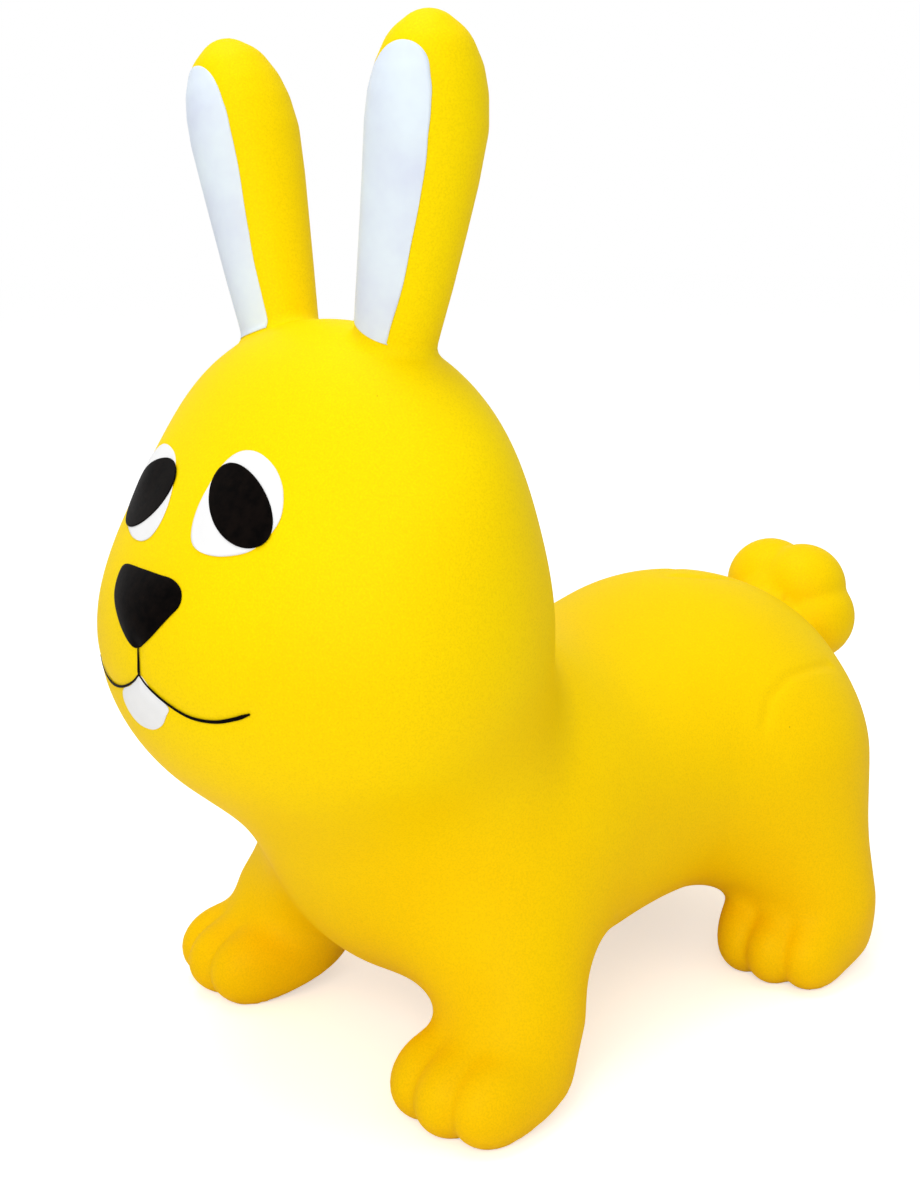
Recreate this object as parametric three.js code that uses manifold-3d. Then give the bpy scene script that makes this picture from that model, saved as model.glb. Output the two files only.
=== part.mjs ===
// Ride-on bunny hopper: one hollow, inflated skin of soft vinyl on four paws, with a round tail, two soft ears
// that bend at their roots, a painted face and an air valve with a push-in plug under the belly.
// Millimetres, +Z up. The bunny faces -Y, its left side is +X and its soles stand on z = 0.
// "Ahead" is measured towards -Y and "behind" towards +Y, both from the middle of the body.

import * as THREE from "three";
import { mergeVertices } from "three/addons/utils/BufferGeometryUtils.js";
import Module from "manifold-3d";

const wasm = await Module();
wasm.setup();

// Skin and fits
const skinWall = 2.6;
const fitGap = 0.3;
const paintThickness = 0.5;

// Head: a broad muzzle under a flatter cranium
const craniumAhead = 148;
const craniumHeight = 354;
const craniumHalfWidth = 130;
const craniumHalfDepth = 70;
const craniumHalfHeight = 90;
const muzzleAhead = 159;
const muzzleHeight = 268;
const muzzleHalfWidth = 146;
const muzzleHalfDepth = 121;
const muzzleHalfHeight = 114;
const headBlend = 60;

// Trunk: chest, barrel and rump
const chestAhead = 73;
const chestHeight = 148;
const chestHalfWidth = 115;
const chestHalfDepth = 110;
const chestHalfHeight = 113;
const barrelBehind = 10;
const barrelHeight = 134;
const barrelHalfWidth = 115;
const barrelHalfDepth = 108;
const barrelHalfHeight = 90;
const rumpBehind = 144;
const rumpHeight = 151;
const rumpHalfWidth = 128;
const rumpHalfDepth = 127;
const rumpHalfHeight = 107;
const trunkBlend = 60;
const throatBlend = 62;
const napeBlend = 20;
const napeStartAhead = 110;

// Front legs and paws
const shoulderAside = 58;
const shoulderAhead = 72;
const shoulderHeight = 128;
const shoulderRadius = 56;
const frontAnkleAside = 107;
const frontAnkleAhead = 106;
const frontAnkleHeight = 52;
const frontAnkleRadius = 42;
const frontPawAside = 110;
const frontPawAhead = 116;
const frontPawHalfWidth = 42;
const frontPawHalfLength = 43;
const frontPawHalfHeight = 36;
const frontToeReach = 58;
const frontToeTurn = 12;

// Hind legs and paws
const hipAside = 81;
const hipBehind = 158;
const hipHeight = 137;
const hipRadius = 57;
const hindAnkleAside = 114;
const hindAnkleBehind = 166;
const hindAnkleHeight = 50;
const hindAnkleRadius = 41;
const hindPawAside = 98;
const hindPawBehind = 170;
const hindPawHalfWidth = 41;
const hindPawHalfLength = 43;
const hindPawHalfHeight = 35;
const hindToeReach = 56;
const hindToeTurn = 24;

// What paws have in common: three toes in a row, set back a little at the sides, and a flattened sole
const toeSpacing = 26;
const toeHalfWidth = 17;
const toeHalfLength = 34;
const toeHalfHeight = 29;
const sideToeSetBack = 5;
const toeBlend = 6;
const pawBlend = 20;
const legBlend = 40;
const soleDepth = 4;
const soleRunDown = 12;
const floorDepth = 1;

// Tail: a puff of lobes round a core
const tailStandOff = 20;
const tailHeight = 228;
const tailCoreRadius = 37;
const tailLobeRadius = 28;
const tailLobeSpread = 21;
const tailLobes = 5;
const tailBlend = 6;

// Ears: narrow at the root, widest near the top, with the tip curled a little ahead
const earRootAside = 51;
const earRootAhead = 146;
const earRootDepth = 18;
const earRootRadius = 23.5;
const earWideSpread = 31.35;
const earWideLead = 0.95;
const earWideRise = 114;
const earWideRadius = 31.2;
const earTipSpread = 8.65;
const earTipLead = 6;
const earTipRise = 43.8;
const earTipRadius = 16.2;
const earJointRadius = 28.5;

// Painted linings on the ear fronts, measured along the ear from its joint and across it
const liningBottom = 24;
const liningTop = 150;
const liningBottomHalfWidth = 17;
const liningTopHalfWidth = 22;
const liningSlant = 6;

// Painted eyes, from the middle of the face, with sizes along the surface
const eyeAside = 42;
const eyeWhiteHalfWidth = 26.5;
const eyeWhiteHalfHeight = 31;
const eyeWhiteTurn = 40;
const pupilHalfWidth = 15.5;
const pupilHalfHeight = 28.5;
const pupilTurn = 52;

// Painted nose, mouth and tooth, seen from the front
const noseTopDrop = 37;
const noseHeight = 40;
const noseHalfWidth = 31;
const noseCorner = 8;
const mouthStemLength = 15;
const mouthSagDrop = 16;
const mouthSagAside = 47;
const mouthEndRise = 8;
const mouthEndAside = 77;
const mouthLineWidth = 2;
const toothDrop = 15;
const toothHalfWidth = 21;

// Air valve under the belly
const valveBehind = 20;
const bossRadius = 15;
const bossDepth = 15;
const plugHeadRadius = 9.5;
const plugHeadThickness = 3;
const plugStemRadius = 3.6;
const plugBarbRadius = 4.2;
const plugLength = 20;

// Mesh: grid steps over the toes, between the paws and up the body, and rings and segments of ears and tail
const toeStep = 13;
const pawStepAlong = 15;
const bodyStepAcross = 22;
const bodyStepAlong = 22;
const pawStepUp = 12;
const bodyStepUp = 23;
const innerCoarseness = 1.8;
const innerSoftness = 0.7;
const earRings = 14;
const earSegments = 20;
const tailSegments = 30;
const roundSegments = 24;
const cutterSpan = 1500;

const vector = (x, y, z) => new THREE.Vector3(x, y, z);

// A form is a function of a point that is negative inside, zero on the surface and about the distance outside.

function ellipsoid(centre, radii) {
  const least = Math.min(radii.x, radii.y, radii.z);
  return (p) => {
    const x = (p.x - centre.x) / radii.x;
    const y = (p.y - centre.y) / radii.y;
    const z = (p.z - centre.z) / radii.z;
    const reach = Math.hypot(x, y, z);
    const slope = Math.hypot(x / radii.x, y / radii.y, z / radii.z);
    return slope > 0 ? reach * (reach - 1) / slope : -least;
  };
}

// Two spheres of different radii and the cone that touches both
function taperedLimb(start, end, startRadius, endRadius) {
  const axis = end.clone().sub(start);
  const length = axis.length();
  axis.divideScalar(length);
  const sine = (startRadius - endRadius) / length;
  const cosine = Math.sqrt(1 - sine * sine);
  const offset = new THREE.Vector3();
  return (p) => {
    offset.copy(p).sub(start);
    const along = offset.dot(axis);
    const aside = Math.sqrt(Math.max(offset.lengthSq() - along * along, 0));
    const station = along - (aside * sine) / cosine;
    if (station < 0) return Math.hypot(along, aside) - startRadius;
    if (station > length) return Math.hypot(along - length, aside) - endRadius;
    return aside * cosine + along * sine - startRadius;
  };
}

function smoothMin(a, b, radius) {
  const share = Math.max(radius - Math.abs(a - b), 0) / radius;
  return Math.min(a, b) - share * share * radius / 4;
}

const blend = (radius, ...forms) => (p) =>
  forms.map((form) => form(p)).reduce((a, b) => smoothMin(a, b, radius));

// The same form on both sides of the body
function onBothSides(form) {
  const folded = new THREE.Vector3();
  return (p) => form(folded.set(Math.abs(p.x), p.y, p.z));
}

// From the toy's frame to a paw's own, where the toes point to -Y
function pawFrame({ aside, behind, turn }) {
  const matrix = new THREE.Matrix4().makeRotationZ(THREE.MathUtils.degToRad(-turn));
  return matrix.multiply(new THREE.Matrix4().makeTranslation(-aside, -behind, 0));
}

function toes({ toeReach }) {
  const toeSize = vector(toeHalfWidth, toeHalfLength, toeHalfHeight);
  const row = [-1, 0, 1].map((place) => {
    const back = toeHalfLength - toeReach + Math.abs(place) * sideToeSetBack;
    return ellipsoid(vector(place * toeSpacing, back, toeHalfHeight - soleDepth), toeSize);
  });
  return blend(toeBlend, ...row);
}

// A paw: a heel, and ahead of it the toes
function paw(size, toed) {
  const heelSize = vector(size.halfWidth, size.halfLength, size.halfHeight);
  const heel = ellipsoid(vector(0, 0, size.halfHeight - soleDepth), heelSize);
  const form = toed ? blend(pawBlend, heel, toes(size)) : heel;
  const toPaw = pawFrame(size);
  const local = new THREE.Vector3();
  return (p) => form(local.copy(p).applyMatrix4(toPaw));
}

const cranium = ellipsoid(
  vector(0, -craniumAhead, craniumHeight),
  vector(craniumHalfWidth, craniumHalfDepth, craniumHalfHeight),
);
const muzzle = ellipsoid(
  vector(0, -muzzleAhead, muzzleHeight),
  vector(muzzleHalfWidth, muzzleHalfDepth, muzzleHalfHeight),
);
const head = blend(headBlend, cranium, muzzle);

const chest = ellipsoid(
  vector(0, -chestAhead, chestHeight),
  vector(chestHalfWidth, chestHalfDepth, chestHalfHeight),
);
const barrel = ellipsoid(
  vector(0, barrelBehind, barrelHeight),
  vector(barrelHalfWidth, barrelHalfDepth, barrelHalfHeight),
);
const rump = ellipsoid(
  vector(0, rumpBehind, rumpHeight),
  vector(rumpHalfWidth, rumpHalfDepth, rumpHalfHeight),
);
const trunk = blend(trunkBlend, chest, barrel, rump);

const frontPaw = {
  aside: frontPawAside,
  behind: -frontPawAhead,
  halfWidth: frontPawHalfWidth,
  halfLength: frontPawHalfLength,
  halfHeight: frontPawHalfHeight,
  toeReach: frontToeReach,
  turn: frontToeTurn,
};
const hindPaw = {
  aside: hindPawAside,
  behind: hindPawBehind,
  halfWidth: hindPawHalfWidth,
  halfLength: hindPawHalfLength,
  halfHeight: hindPawHalfHeight,
  toeReach: hindToeReach,
  turn: hindToeTurn,
};
const frontLimb = taperedLimb(
  vector(shoulderAside, -shoulderAhead, shoulderHeight),
  vector(frontAnkleAside, -frontAnkleAhead, frontAnkleHeight),
  shoulderRadius,
  frontAnkleRadius,
);
const hindLimb = taperedLimb(
  vector(hipAside, hipBehind, hipHeight),
  vector(hindAnkleAside, hindAnkleBehind, hindAnkleHeight),
  hipRadius,
  hindAnkleRadius,
);

// The body without ears and tail. The head swells softly into the throat but meets the back in a tight crease.
// Below the floor the soles run straight down to a flat end, to be cut off.
function bodyForm(toed, softness) {
  const frontLeg = blend(softness * pawBlend, frontLimb, paw(frontPaw, toed));
  const hindLeg = blend(softness * pawBlend, hindLimb, paw(hindPaw, toed));
  const standing = blend(softness * legBlend, trunk, onBothSides(frontLeg), onBothSides(hindLeg));
  const above = new THREE.Vector3();
  return (p) => {
    above.set(p.x, p.y, Math.max(p.z, 0));
    const step = THREE.MathUtils.smoothstep(p.y, -napeStartAhead, 0);
    const radius = softness * THREE.MathUtils.lerp(throatBlend, napeBlend, step);
    return Math.max(smoothMin(standing(above), head(above), radius), -soleRunDown - p.z);
  };
}
const body = bodyForm(true, 1);

// The hollow inside has no toes, and tighter creases than the outside, so that the wall is thick enough there
const plainBody = bodyForm(false, innerSoftness);

// Outward direction of a form at a point
function outward(form, p) {
  const reach = 0.05;
  const probe = new THREE.Vector3();
  const slope = (x, y, z) => form(probe.copy(p).add(vector(x, y, z))) - form(probe.copy(p).sub(vector(x, y, z)));
  return vector(slope(reach, 0, 0), slope(0, reach, 0), slope(0, 0, reach)).divideScalar(2 * reach);
}

// First point of a form's surface met from a start outside it, going along a direction
function surfacePoint(form, start, direction) {
  const point = start.clone();
  for (let step = 0; step < 200; step += 1) {
    point.addScaledVector(direction, form(point) * 0.8);
  }
  return point;
}

// The lobes sit round the tail's core, which stands off the rump
const tailRoot = surfacePoint(body, vector(0, cutterSpan / 2, tailHeight), vector(0, -1, 0));
const tailCentre = tailRoot.clone().add(vector(0, tailStandOff, 0));
const ball = (centre, radius) => ellipsoid(centre, vector(radius, radius, radius));
const tailCore = ball(tailCentre, tailCoreRadius);
const tailLobeForms = Array.from({ length: tailLobes }, (_, lobe) => {
  const turn = (lobe / tailLobes) * 2 * Math.PI + Math.PI / 2;
  const place = vector(Math.cos(turn), 0, Math.sin(turn)).multiplyScalar(tailLobeSpread);
  return ball(place.add(tailCentre), tailLobeRadius);
});
const tail = blend(tailBlend, tailCore, ...tailLobeForms);

// Root, widest place and tip of an ear, on the left for side 1 and on the right for side -1
function earStops(side) {
  const root = vector(side * earRootAside, -earRootAhead, craniumHeight + craniumHalfHeight - earRootDepth);
  const wide = root.clone().add(vector(side * earWideSpread, -earWideLead, earWideRise));
  const tip = wide.clone().add(vector(side * earTipSpread, -earTipLead, earTipRise));
  return { root, wide, tip };
}

// An ear widens evenly from its root, and above the widest place a row of short limbs rounds it off like an egg
function earForm(side) {
  const { root, wide, tip } = earStops(side);
  const steps = 5;
  const stations = Array.from({ length: steps + 1 }, (_, i) => {
    const share = i / steps;
    const squares = THREE.MathUtils.lerp(earWideRadius ** 2, earTipRadius ** 2, share ** 2);
    return { place: wide.clone().lerp(tip, share), radius: Math.sqrt(squares) };
  });
  const limbs = [{ place: root, radius: earRootRadius }, ...stations.slice(0, -1)].map((below, i) => {
    const above = stations[i];
    return taperedLimb(below.place, above.place, below.radius, above.radius);
  });
  return (p) => Math.min(...limbs.map((limb) => limb(p)));
}

// Grid lines from one end to the other, with the widest step that divides the span evenly
function gridLines(from, to, step) {
  const count = Math.ceil((to - from) / step);
  return Array.from({ length: count + 1 }, (_, i) => from + ((to - from) * i) / count);
}

// The same lines with one more at each end, so that no surface reaches the outermost cells
const padded = (lines) => [2 * lines[0] - lines[1], ...lines, 2 * lines.at(-1) - lines.at(-2)];

// A point near a form's surface, drawn on to it but not far along it
function drawnOn(form, level, start) {
  const point = start.clone();
  for (let step = 0; step < 4; step += 1) {
    const slope = outward(form, point);
    point.addScaledVector(slope, (level - form(point)) / Math.max(slope.lengthSq(), 0.5));
  }
  return point.distanceTo(start) < toeStep / 2 ? point : start;
}

// A point near a form's surface brought just under the floor, then drawn on to the surface along the floor
function drawnOnFloor(form, level, start) {
  const point = vector(start.x, start.y, -floorDepth);
  for (let step = 0; step < 6; step += 1) {
    const slope = outward(form, point).setZ(0);
    point.addScaledVector(slope, (level - form(point)) / Math.max(slope.lengthSq(), 0.5));
  }
  return point.distanceTo(start) < toeStep ? point : start;
}

// Mesh of the surface where a form equals a level, on layers of grid lines that each have a height.
// Every sheet of the surface that passes through a cell gets one vertex, drawn on to the surface,
// and every grid edge that the surface crosses gets one four-sided facet.
// The cells that the floor passes through have their vertices on the edges of the soles.
// A cell's edge is numbered by its axis and by which of the cell's four edges on that axis it is.
function surfaceMesh(form, level, layers) {
  const counts = [layers[0].xs.length, layers[0].ys.length, layers.length];
  const strides = [1, counts[0], counts[0] * counts[1]];
  const nodes = layers.flatMap(({ xs, ys, z }) => ys.flatMap((y) => xs.map((x) => vector(x, y, z))));
  const values = nodes.map((node) => form(node) - level);
  const crosses = (node, axis) => values[node] < 0 !== values[node + strides[axis]] < 0;
  const points = [];
  const edgePoint = new Map();

  function meshCell(cell) {
    const onFloor = nodes[cell].z < 0 && nodes[cell + strides[2]].z > 0;
    const crossing = new Map();
    for (let edge = 0; edge < 12; edge += 1) {
      const axis = edge >> 2;
      const low = cell + (edge & 1) * strides[(axis + 1) % 3] + ((edge >> 1) & 1) * strides[(axis + 2) % 3];
      if (!crosses(low, axis)) continue;
      const high = low + strides[axis];
      const share = values[low] / (values[low] - values[high]);
      crossing.set(edge, { sheet: edge, place: nodes[low].clone().lerp(nodes[high], share) });
    }
    const join = (one, other) => {
      const from = crossing.get(one).sheet;
      const to = crossing.get(other).sheet;
      crossing.forEach((entry) => {
        if (entry.sheet === from) entry.sheet = to;
      });
    };
    for (let face = 0; face < 6; face += 1) {
      const [across, side] = [face >> 1, face & 1];
      const [g, h] = [(across + 1) % 3, (across + 2) % 3];
      const ring = [g * 4 + 2 * side, h * 4 + side, g * 4 + 1 + 2 * side, h * 4 + side + 2];
      const cut = ring.filter((edge) => crossing.has(edge));
      if (cut.length === 2) join(...cut);
      if (cut.length < 4) continue;
      const cornerInside = values[cell + side * strides[across]] < 0;
      join(ring[0], ring[cornerInside ? 1 : 3]);
      join(ring[2], ring[cornerInside ? 3 : 1]);
    }
    for (const sheet of new Set([...crossing.values()].map((entry) => entry.sheet))) {
      const edges = [...crossing].filter(([, entry]) => entry.sheet === sheet);
      const point = new THREE.Vector3();
      edges.forEach(([edge, entry]) => {
        point.addScaledVector(entry.place, 1 / edges.length);
        edgePoint.set(cell * 12 + edge, points.length);
      });
      points.push(onFloor ? drawnOnFloor(form, level, point) : drawnOn(form, level, point));
    }
  }

  const triangles = [];
  function meshEdge(node, axis) {
    const right = strides[(axis + 1) % 3];
    const up = strides[(axis + 2) % 3];
    const cells = [node - right - up, node - up, node, node - right];
    const ring = cells.map((cell, i) => edgePoint.get(cell * 12 + axis * 4 + [3, 2, 0, 1][i]));
    if (values[node] >= 0) ring.reverse();
    const [a, b, c, d] = ring;
    const splitAcross = points[a].distanceTo(points[c]) < points[b].distanceTo(points[d]);
    triangles.push(...(splitAcross ? [a, b, c, a, c, d] : [a, b, d, b, c, d]));
  }

  const inner = (from, visit) => {
    for (let k = from; k < counts[2] - 1; k += 1) {
      for (let j = from; j < counts[1] - 1; j += 1) {
        for (let i = from; i < counts[0] - 1; i += 1) visit(i + j * strides[1] + k * strides[2]);
      }
    }
  };
  inner(0, meshCell);
  inner(1, (node) => [0, 1, 2].filter((axis) => crosses(node, axis)).forEach((axis) => meshEdge(node, axis)));
  return { points, triangles };
}

// Mesh of the surface where a form equals a level, met by rays that fan out from a spine inside it:
// half a ball of rays at the start of the spine, rings of rays square to it and half a ball at its end
function castSurface(form, level, start, end, rings, segments) {
  const capRings = segments / 4;
  const along = end.clone().sub(start).normalize();
  const aside = along.clone().cross(vector(0, -1, 0.01)).normalize();
  const ahead = aside.clone().cross(along);
  const cap = (i) => (Math.PI / 2) * (i / capRings);
  const stations = [
    ...Array.from({ length: capRings - 1 }, (_, i) => ({ place: 0, lean: cap(i + 1) - Math.PI / 2 })),
    ...Array.from({ length: rings + 1 }, (_, i) => ({ place: rings > 0 ? i / rings : 0, lean: 0 })),
    ...Array.from({ length: capRings - 1 }, (_, i) => ({ place: 1, lean: cap(i + 1) })),
  ];
  const met = (from, direction) => {
    let [near, far] = [0, cutterSpan / 4];
    for (let step = 0; step < 40; step += 1) {
      const middle = (near + far) / 2;
      if (form(from.clone().addScaledVector(direction, middle)) < level) near = middle;
      else far = middle;
    }
    return from.clone().addScaledVector(direction, near);
  };
  const points = stations.flatMap(({ place, lean }) => Array.from({ length: segments }, (_, i) => {
    const turn = (2 * Math.PI * i) / segments;
    const direction = aside.clone().multiplyScalar(Math.cos(turn)).addScaledVector(ahead, Math.sin(turn));
    direction.multiplyScalar(Math.cos(lean)).addScaledVector(along, Math.sin(lean));
    return met(start.clone().lerp(end, place), direction);
  }));
  const [startPole, endPole] = [points.length, points.length + 1];
  points.push(met(start, along.clone().negate()), met(end, along));
  const triangles = [];
  const last = (stations.length - 1) * segments;
  for (let i = 0; i < segments; i += 1) {
    const next = (i + 1) % segments;
    triangles.push(startPole, i, next, endPole, last + next, last + i);
    for (let row = 0; row < last; row += segments) {
      const above = row + segments;
      triangles.push(row + i, above + next, row + next, row + i, above + i, above + next);
    }
  }
  return { points, triangles };
}

function solidOf({ points, triangles }) {
  const vertProperties = new Float32Array(points.flatMap((p) => [p.x, p.y, p.z]));
  return new wasm.Manifold(new wasm.Mesh({ numProp: 3, vertProperties, triVerts: new Uint32Array(triangles) }));
}

function solidFrom(geometry, matrix = new THREE.Matrix4()) {
  const bare = geometry.clone().applyMatrix4(matrix);
  bare.deleteAttribute("normal");
  bare.deleteAttribute("uv");
  const merged = mergeVertices(bare, 1e-4);
  const triVerts = new Uint32Array(merged.index.array);
  const vertProperties = new Float32Array(merged.attributes.position.array);
  return new wasm.Manifold(new wasm.Mesh({ numProp: 3, vertProperties, triVerts }));
}

function geometryOf(solid) {
  const mesh = solid.getMesh();
  const geometry = new THREE.BufferGeometry();
  geometry.setAttribute("position", new THREE.BufferAttribute(mesh.vertProperties, 3));
  geometry.setIndex(new THREE.BufferAttribute(mesh.triVerts, 1));
  geometry.computeVertexNormals();
  return geometry;
}

// A turned solid about the Z axis from a half profile of [radius, height] pairs
function turned(profile, matrix) {
  const points = profile.map(([radius, height]) => new THREE.Vector2(radius, height));
  const upright = new THREE.Matrix4().makeRotationX(Math.PI / 2);
  return solidFrom(new THREE.LatheGeometry(points, roundSegments).applyMatrix4(upright), matrix);
}

// A block under a level, to cut the soles flat
function blockBelow(level) {
  const block = new THREE.BoxGeometry(cutterSpan, cutterSpan, cutterSpan);
  return solidFrom(block, new THREE.Matrix4().makeTranslation(0, 0, level - cutterSpan / 2));
}

// Extents of the body, from the sizes above
const halfWidth = headBlend / 2 + Math.max(
  craniumHalfWidth, muzzleHalfWidth, chestHalfWidth, barrelHalfWidth, rumpHalfWidth,
  frontPawAside + frontToeReach, hindPawAside + hindToeReach,
  frontAnkleAside + frontAnkleRadius, hindAnkleAside + hindAnkleRadius,
);
const front = -headBlend / 2 - Math.max(muzzleAhead + muzzleHalfDepth, frontPawAhead + frontToeReach);
const back = trunkBlend / 2 + Math.max(rumpBehind + rumpHalfDepth, hindPawBehind + hindToeReach);
const crown = headBlend / 2 + Math.max(craniumHeight + craniumHalfHeight, muzzleHeight + muzzleHalfHeight);
const pawTop = 2 * Math.max(frontPawHalfHeight, hindPawHalfHeight);

// Grid lines through a row of stops, with the given widest step between each pair of stops
const linesThrough = (stops, steps) => steps.flatMap((step, i) => {
  const lines = gridLines(stops[i], stops[i + 1], step);
  return i === 0 ? lines : lines.slice(1);
});

// Layers for the body: even lines at its middle, and closer ones over the paws near the floor.
// The lines across are centred on the toes.
function bodyLayers(coarseness) {
  const [frontTurn, hindTurn] = [frontToeTurn, hindToeTurn].map((turn) => Math.sin(THREE.MathUtils.degToRad(turn)));
  const frontToesAside = frontPawAside + frontTurn * frontToeReach;
  const hindToesAside = hindPawAside + hindTurn * hindToeReach;
  const toesAside = (frontToesAside + hindToesAside) / 2;
  const inner = toesAside - 5.5 * toeStep;
  const outer = toesAside + 3.5 * toeStep;
  const pawXs = linesThrough(
    [-halfWidth, -outer, -inner, inner, outer, halfWidth],
    [halfWidth, toeStep, bodyStepAcross, toeStep, halfWidth].map((step) => step * coarseness),
  );
  const frontSpan = frontToeReach + soleRunDown;
  const hindSpan = hindToeReach + soleRunDown;
  const pawYs = linesThrough(
    [
      front, -frontPawAhead - frontSpan, -frontPawAhead + frontSpan,
      hindPawBehind - hindSpan, hindPawBehind + hindSpan, back,
    ],
    [-front, pawStepAlong, bodyStepAlong, pawStepAlong, back].map((step) => step * coarseness),
  );
  const evenLines = (from, to, { length }) => gridLines(from, to, (to - from) / (length - 1.01));
  const bodyXs = evenLines(-halfWidth, halfWidth, pawXs);
  const bodyYs = evenLines(front, back, pawYs);
  const zs = linesThrough(
    [-1.5 * soleRunDown, pawTop, crown],
    [pawStepUp * coarseness, bodyStepUp * coarseness],
  );
  return padded(zs).map((z) => {
    const evenness = THREE.MathUtils.smoothstep(z, pawTop / 2, 1.5 * pawTop);
    const mix = (line, even) => THREE.MathUtils.lerp(line, even, evenness);
    const xs = padded(pawXs.map((x, i) => mix(x, bodyXs[i])));
    const ys = padded(pawYs.map((y, i) => mix(y, bodyYs[i])));
    return { z, xs, ys };
  });
}

function earSurface(side, level, coarseness) {
  const { root, tip } = earStops(side);
  const segments = 4 * Math.round(earSegments / coarseness / 4);
  return castSurface(earForm(side), level, root, tip, Math.round(earRings / coarseness), segments);
}

// The tail's rays fan out from its middle, in rings about the line that it stands off on
function tailSurface(form, level, coarseness) {
  const segments = 4 * Math.round(tailSegments / coarseness / 4);
  const end = tailCentre.clone().add(vector(0, 1, 0));
  return castSurface(form, level, tailCentre, end, 1, segments);
}

const sides = [1, -1];
const bodySurface = surfaceMesh(body, 0, bodyLayers(1));
const earSurfaces = new Map(sides.map((side) => [side, earSurface(side, 0, 1)]));
const outerSolid = sides.reduce(
  (solid, side) => solid.add(solidOf(earSurfaces.get(side))),
  solidOf(bodySurface).subtract(blockBelow(0)).add(solidOf(tailSurface(tail, 0, 1))),
);
const hollow = sides.reduce(
  (solid, side) => solid.add(solidOf(earSurface(side, -skinWall, innerCoarseness))),
  solidOf(surfaceMesh(plainBody, -skinWall, bodyLayers(innerCoarseness))).subtract(blockBelow(skinWall)),
).add(solidOf(tailSurface(tailCore, -skinWall, innerCoarseness)));

// Valve: a boss inside the belly, bored through, with a flat seat for the plug's head
const belly = surfacePoint(body, vector(0, valveBehind, 0), vector(0, 0, 1));
const atBelly = new THREE.Matrix4().makeTranslation(belly.x, belly.y, belly.z);
const seatHeight = plugHeadThickness + fitGap;
const seatRadius = plugHeadRadius + fitGap;
const boreRadius = plugBarbRadius + fitGap;
const bossTop = bossDepth;
const boss = turned([[0, -bossDepth], [bossRadius, -bossDepth], [bossRadius, bossTop], [0, bossTop]], atBelly);
const seatAndBore = turned(
  [
    [0, -bossDepth], [seatRadius, -bossDepth], [seatRadius, seatHeight],
    [boreRadius, seatHeight], [boreRadius, bossTop + bossDepth], [0, bossTop + bossDepth],
  ],
  atBelly,
);
const plugTop = seatHeight + plugLength;
const plug = turned(
  [
    [0, 0], [plugHeadRadius - 1, 0], [plugHeadRadius, 1], [plugHeadRadius, plugHeadThickness],
    [plugStemRadius, plugHeadThickness], [plugStemRadius, plugTop - 7], [plugBarbRadius, plugTop - 6],
    [plugBarbRadius, plugTop - 4], [plugStemRadius - 1, plugTop], [0, plugTop],
  ],
  atBelly,
);

const wholeSkin = outerSolid.subtract(hollow).add(boss.intersect(outerSolid)).subtract(seatAndBore);

// Each ear parts from the head on a ball about the point where its axis leaves the head,
// so that it can nod ahead and back about that point
function earFrame(side) {
  const { root, wide } = earStops(side);
  const along = wide.clone().sub(root).normalize();
  const joint = surfacePoint(body, wide, along.clone().negate());
  const aside = along.clone().cross(vector(0, -1, 0)).normalize();
  const ahead = aside.clone().cross(along);
  return { joint, along, aside, ahead };
}

// Everything beyond a ball round the ear's joint, out to a wide bell
function earBell(side, ballRadius) {
  const { joint, along, aside, ahead } = earFrame(side);
  const matrix = new THREE.Matrix4().makeBasis(aside, ahead.clone().negate(), along).setPosition(joint);
  const arcSteps = 12;
  const widest = THREE.MathUtils.degToRad(80);
  const arc = Array.from({ length: arcSteps + 1 }, (_, i) => {
    const turn = (widest * i) / arcSteps;
    return [Math.sin(turn) * ballRadius, Math.cos(turn) * ballRadius];
  });
  const reach = earStops(side).tip.z + 2 * earWideRadius - joint.z;
  const bellRadius = earWideRadius + earTipRadius;
  return turned([...arc, [bellRadius, ballRadius], [bellRadius, reach], [0, reach]], matrix);
}

const earSolid = (side) => wholeSkin.intersect(earBell(side, earJointRadius + fitGap / 2));
const bodySkin = sides.reduce(
  (skin, side) => skin.subtract(earBell(side, earJointRadius - fitGap / 2)),
  wholeSkin,
);

// Paint lies on the skin as a thin film, cut to its outline by a prism that runs through the surface
function raised({ points, triangles }, form, distance) {
  const moved = points.map((p) => p.clone().addScaledVector(outward(form, p).normalize(), distance));
  return solidOf({ points: moved, triangles });
}

function paintFilm(surface, form, shape, matrix, depth) {
  const outline = new THREE.ExtrudeGeometry(shape, { depth, bevelEnabled: false, curveSegments: roundSegments / 2 });
  const prism = solidFrom(outline, matrix);
  const film = prism.intersect(raised(surface, form, fitGap + paintThickness));
  return film.subtract(raised(surface, form, fitGap));
}
const facePaint = (shape, matrix, depth) => paintFilm(bodySurface, body, shape, matrix, depth);

// Frame on the face: X across, Y up along the surface, Z out of it
function faceFrame(aside, height, sunk) {
  const start = vector(aside, front, height);
  const centre = surfacePoint(body, start, vector(0, 1, 0));
  const out = outward(body, centre).normalize();
  const across = vector(0, 0, 1).cross(out).normalize();
  const up = out.clone().cross(across);
  const matrix = new THREE.Matrix4().makeBasis(across, up, out);
  return matrix.setPosition(centre.addScaledVector(out, -sunk));
}

// Frame for outlines that are given as seen from the front, with X across and Y up
function frontFrame() {
  const matrix = new THREE.Matrix4().makeRotationX(Math.PI / 2);
  return matrix.setPosition(0, -muzzleAhead, 0);
}

// The eyes sit level with the middle of the cranium, and the nose, mouth and tooth hang below them in a row
const eyeHeight = craniumHeight;
const noseTop = eyeHeight - noseTopDrop;
const noseBottom = noseTop - noseHeight;
const mouthStemBottom = noseBottom - mouthStemLength;
const mouthSag = mouthStemBottom - mouthSagDrop;
const mouthEnd = mouthSag + mouthEndRise;
const toothBottom = mouthSag - toothDrop;

const facePaintDepth = 40;
const eyeFrame = (side) => faceFrame(side * eyeAside, eyeHeight, facePaintDepth / 2);

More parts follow.
